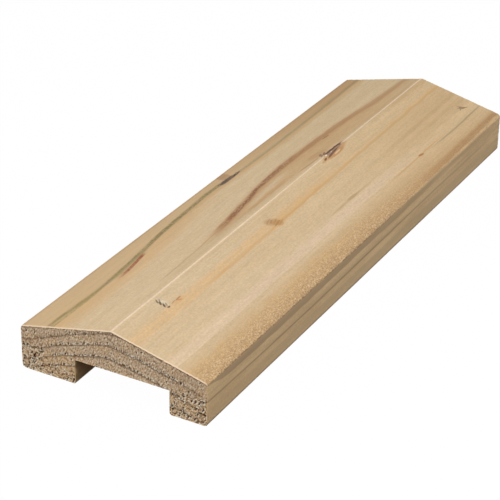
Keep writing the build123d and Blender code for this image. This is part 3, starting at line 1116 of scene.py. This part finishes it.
# Painted highlight on the fibre ends
END_GLINT = paint(255, 242, 218)
TEAR_LEAN = math.radians(62)  # the saw tears the fibre ends out along this direction, up from level
FOOT_TEAR_LEAN = math.radians(24)  # and in the feet along this one
FAR_SHIFT = 40.0  # how far the far end's noise is from the near end's, so that the two differ
PORE_WIDTH = 0.88  # the pores' and their lips' cells
PORE_LENGTH = 1.2

# How strongly each mark of the end grain covers at its fullest
TORN_COVER = 0.95
PALE_TORN_COVER = 0.92
WARM_FOOT_COVER = 0.25
THIN_EDGE_COVER = 0.11
RING_LINE_COVER = 0.92
ROOF_SHADE_COVER = 0.62
DARK_BEAD_COVER = 0.75
PALE_BEAD_COVER = 0.85
PORE_COVER = 0.95


def sawn_end_grain():
    """The sawn ends: grey-brown end grain, greyer above and tanner in the feet. Short torn
    strokes lean all one way above, and nearer to level in the feet, with painted highlights on
    their pale parts. Pores are cut open in the feet and over the dark growth rings, darkened with
    painted shade, each with a painted highlight on a bright lip of torn fibres. Dark and pale beads
    stand in rows over the rings as painted shade and painted highlights, and the wood just under
    the roof line is darker."""
    made, w, shader, board = fresh_material("sawn_end_grain")
    along, across, up = (board[name] for name in ("Along", "Across", "Up"))
    far = w.times(w.ramp(along, 100.0, 200.0), FAR_SHIFT)
    where = w.place(across, far, up)
    with_tear = w.plus(w.times(across, math.cos(TEAR_LEAN)), w.times(up, math.sin(TEAR_LEAN)))
    beside_tear = w.minus(w.times(across, math.sin(TEAR_LEAN)), w.times(up, math.cos(TEAR_LEAN)))

    def torn_place(width, length, lip=0.0):
        """Coordinates in which a torn mark of this width and length is round. A lip lies that
        far beside its mark."""
        return w.place(w.over(w.minus(beside_tear, lip), width), far, w.over(with_tear, length))

    leaning_up = w.minus(up, w.times(across, math.tan(FOOT_TEAR_LEAN)))
    left = w.times(w.fall(across, 8.0, 14.0), w.fall(up, 11.0, 15.0))
    right = w.times(w.ramp(across, 70.0, 76.0), w.fall(up, 11.0, 16.0))
    coarse = w.larger(w.larger(left, right), w.fall(up, 4.0, 8.5))
    tan_low_down = w.ramp(up, 8.0, 16.0, 0.8, 0.1)
    tan_patches = w.ramp(w.noise(where, 0.16, 2.0), 0.45, 0.7, 0.0, 0.5)
    colour = w.blend(END_GREY, END_TAN, w.maths("ADD", tan_low_down, tan_patches, clamp=True))

    cloud = w.ramp(w.noise(where, 0.35, 2.0), 0.4, 0.62)
    colour = w.blend(colour, END_STROKE, w.minus(0.20, w.times(cloud, 0.15)))
    upper_strokes = w.noise(torn_place(0.62, 1.15), 1.0, 2.0, 0.6)
    low_strokes = w.noise(w.place(across, far, w.over(leaning_up, 0.52)), 1.0, 2.0, 0.6)
    strokes = w.plus(w.times(upper_strokes, w.minus(1.0, coarse)), w.times(low_strokes, coarse))
    strength = w.ramp(coarse, 0.0, 1.0, 0.72, 1.0)
    dark_strokes = w.fall(strokes, 0.38, 0.48)
    colour = w.blend(colour, END_STROKE, w.times(dark_strokes, strength, TORN_COVER))
    # Painted highlights on the pale parts of the torn strokes
    highlit_strokes = w.ramp(w.plus(strokes, w.times(left, 0.04)), 0.53, 0.63)
    colour = w.blend(colour, END_GLINT, w.times(highlit_strokes, strength, PALE_TORN_COVER))

    # The left foot is warmer, and the right slope's thin edge is duller
    colour = w.blend(colour, END_TAN, w.times(left, WARM_FOOT_COVER))
    thin_edge = w.times(w.ramp(across, 68.0, 79.0), w.ramp(up, 12.5, 15.5))
    colour = w.blend(colour, END_STROKE, w.times(thin_edge, THIN_EDGE_COVER))

    wander = w.minus(w.noise(where, 0.5, 2.0), 0.5)
    rings = w.use(RINGS, Across=across, Up=w.plus(up, wander), Line_width=1.5)
    uneven = w.ramp(strokes, 0.3, 0.5, 1.0, 0.6)
    faint = w.ramp(across, 84.0, 90.0, 1.0, 0.3)
    colour = w.blend(colour, END_RING, w.times(rings["Line"], uneven, faint, RING_LINE_COVER))
    under_roof = w.fall(board["Below roof"], 0.7, 1.7)
    patchy = w.ramp(w.noise(where, 0.6, 2.0), 0.44, 0.58, 0.0, 1.0)
    colour = w.blend(colour, END_RING, w.times(under_roof, uneven, patchy, ROOF_SHADE_COVER))

    rows = w.times(rings["Band"], w.ramp(across, 12.0, 18.0), w.fall(across, 76.0, 86.0))
    share = w.larger(w.times(coarse, 0.52), w.times(rows, 0.85))
    share = w.larger(share, w.times(under_roof, patchy, 0.32))
    share = w.larger(share, 0.06)
    pores = w.use(DOTS, Place=torn_place(PORE_WIDTH, PORE_LENGTH), Share=share, Size=0.40)["Mask"]
    lip_highlights = w.use(DOTS, Place=torn_place(PORE_WIDTH, PORE_LENGTH, 0.5), Share=share, Size=0.44)["Mask"]
    # Dark beads are painted shade and pale beads painted highlights, in rows over the rings
    beads = w.noise(w.place(w.over(across, 0.55), far, w.over(up, 3.0)), 1.0, 0.0)
    dark_beads = w.fall(beads, 0.40, 0.46)
    colour = w.blend(colour, END_PORE_SHADE, w.times(rows, dark_beads, DARK_BEAD_COVER))
    colour = w.blend(colour, END_GLINT, w.times(rows, w.ramp(beads, 0.54, 0.60), PALE_BEAD_COVER))
    # Painted highlights on the lips beside the pores and on the fibre ends
    colour = w.blend(colour, END_GLINT, w.times(lip_highlights, PORE_COVER))
    own_glints = w.times(w.attribute("glints"), w.ramp(coarse, 0.0, 1.0, 0.4, 1.0))
    colour = w.blend(colour, END_GLINT, own_glints)
    # Painted shade darkens the pores and the torn pits
    colour = w.blend(colour, END_PORE_SHADE, w.times(pores, PORE_COVER))
    pore_cover = w.plus(0.82, w.times(left, 0.10))
    own_pores = w.maths("MULTIPLY", w.attribute("pores"), pore_cover, clamp=True)
    colour = w.blend(colour, END_PORE_SHADE, own_pores)

    height = w.minus(w.times(strokes, 0.22), w.times(pores, 0.25))
    roughness = w.ramp(strokes, 0.3, 0.7, 0.92, 0.78)
    feed_shader(w, shader, colour, roughness, specular=0.2, height=height, relief=0.9)
    return made


SHARP_ANGLE = math.radians(40)  # edges that turn more than this stay sharp


def add_object(name, data):
    """A new object in the scene."""
    made = bpy.data.objects.new(name, data)
    bpy.context.scene.collection.objects.link(made)
    return made


def timber_board():
    """The board as one piece, in place of the plain solid."""
    mesh = board_mesh()
    mesh.materials.append(planed_timber())
    mesh.materials.append(sawn_end_grain())
    mesh.set_sharp_from_angle(angle=SHARP_ANGLE)
    piece = add_object("timber_board", mesh)
    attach(piece, "root")
    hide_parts("capping_board")


FLOOR_SIZE = 3.0  # half its width, in metres
FLOOR_GAP = 0.0001  # metres between the floor and the feet
FLOOR_GREY = 0.04  # how much light the floor throws back on the object
FLOOR_PALE = 0.95  # how much it shows the camera
FLOOR_PLAIN = 0.985  # how much of the floor's look is plain white, and the rest takes the shadow


def shown_directly(w):
    """1 for what the camera, a reflection or a refraction sees, and 0 for light thrown on things."""
    seen = w.node("ShaderNodeLightPath").outputs
    return w.larger(seen["Is Camera Ray"], w.larger(seen["Is Glossy Ray"], seen["Is Transmission Ray"]))


def floor():
    """A pale floor under the feet, which shows as plain white with a pale shadow."""
    mesh = bpy.data.meshes.new("floor")
    corners = np.array([(-1, -1), (1, -1), (1, 1), (-1, 1)]) * FLOOR_SIZE
    mesh.from_pydata([(x, y, -FLOOR_GAP) for x, y in corners.tolist()], [], [(0, 1, 2, 3)])
    made = bpy.data.materials.new("floor_white")
    w = bare_tree(made)
    matt = w.node("ShaderNodeBsdfDiffuse")
    shown = shown_directly(w)
    grey = w.ramp(shown, 0.0, 1.0, FLOOR_GREY, FLOOR_PALE)
    w.feed(matt.inputs["Color"], w.place(grey, grey, grey))
    plain = w.node("ShaderNodeEmission")
    mix = w.node("ShaderNodeMixShader")
    w.feed(mix.inputs[0], w.times(shown, FLOOR_PLAIN))
    w.feed(mix.inputs[1], matt.outputs[0])
    w.feed(mix.inputs[2], plain.outputs[0])
    w.feed(w.node("ShaderNodeOutputMaterial").inputs["Surface"], mix.outputs[0])
    mesh.materials.append(made)
    piece = add_object("floor", mesh)


# Pale panels stand round the table, above its level, and leave the ceiling dim. Their heights
# are sines of the angle above the horizon.
PANEL_FOOT = 0.12
PANEL_FULL = 0.34
CEILING_START = 0.48
CEILING_FULL = 0.70
PANEL_LEVEL = 1.8
FLOOR_LINE_LEVEL = 0.05
CEILING_SHARE = 0.12  # of the panels' level
KEY_PLACE = (0.16, -0.44, 0.72)
KEY_SIZE = 0.5
KEY_POWER = 3.1


def lights():
    """One large soft lamp overhead, towards the near end, among pale panels, in a room that the
    camera sees as plain white."""
    world = bpy.data.worlds.new("pale_room")
    w = bare_tree(world)
    direction = w.node("ShaderNodeSeparateXYZ")
    w.feed(direction.inputs[0], w.node("ShaderNodeTexCoord").outputs["Generated"])
    rise = w.ramp(direction.outputs[2], PANEL_FOOT, PANEL_FULL, FLOOR_LINE_LEVEL, PANEL_LEVEL)
    ceiling = w.ramp(direction.outputs[2], CEILING_START, CEILING_FULL, 1.0, CEILING_SHARE)
    level = w.times(rise, ceiling)
    plain = shown_directly(w)
    level = w.plus(w.times(level, w.minus(1.0, plain)), plain)
    sky = w.node("ShaderNodeBackground")
    w.feed(sky.inputs["Strength"], level)
    sky.inputs["Color"].default_value = (1, 1, 1, 1)
    w.feed(w.node("ShaderNodeOutputWorld").inputs["Surface"], sky.outputs[0])
    bpy.context.scene.world = world
    lamp = bpy.data.lights.new("key_lamp", "AREA")
    lamp.shape = "SQUARE"
    lamp.size = KEY_SIZE
    lamp.energy = KEY_POWER
    holder = add_object("key_lamp", lamp)
    holder.location = KEY_PLACE
    holder.rotation_euler = (-Vector(KEY_PLACE)).to_track_quat("-Z", "Y").to_euler()


# The photograph's viewpoint: turned round from the near end, looking down, and tilted
VIEW_AZIMUTH = math.radians(28.93)
VIEW_ELEVATION = math.radians(28.43)
VIEW_TILT = math.radians(0.75)
VIEW_AIM = Vector((-7.0, -23.0, 6.85)) * MM  # what lies in the middle of the picture
VIEW_DISTANCE = 0.8404  # metres
VIEW_LENS = 131.04  # millimetres
VIEW_SENSOR = 36.0  # millimetres wide
VIEW_NEAR = 0.01  # metres, nearer than anything in the picture


def camera():
    """A camera at the photograph's viewpoint, with a long lens."""
    back = Vector((math.sin(VIEW_AZIMUTH) * math.cos(VIEW_ELEVATION),
                   -math.cos(VIEW_AZIMUTH) * math.cos(VIEW_ELEVATION), math.sin(VIEW_ELEVATION)))
    level = Vector((math.cos(VIEW_AZIMUTH), math.sin(VIEW_AZIMUTH), 0))
    upright = back.cross(level)
    right = level * math.cos(VIEW_TILT) + upright * math.sin(VIEW_TILT)
    upward = upright * math.cos(VIEW_TILT) - level * math.sin(VIEW_TILT)
    lens_data = bpy.data.cameras.new("camera")
    lens_data.sensor_width = VIEW_SENSOR
    lens_data.lens = VIEW_LENS
    lens_data.clip_start = VIEW_NEAR
    holder = add_object("camera", lens_data)
    turn = Matrix((right, upward, back)).transposed().to_4x4()
    holder.matrix_world = Matrix.Translation(VIEW_AIM + back * VIEW_DISTANCE) @ turn
    bpy.context.scene.camera = holder


camera()
lights()
floor()
timber_board()
bpy.context.scene.view_settings.view_transform = "Standard"
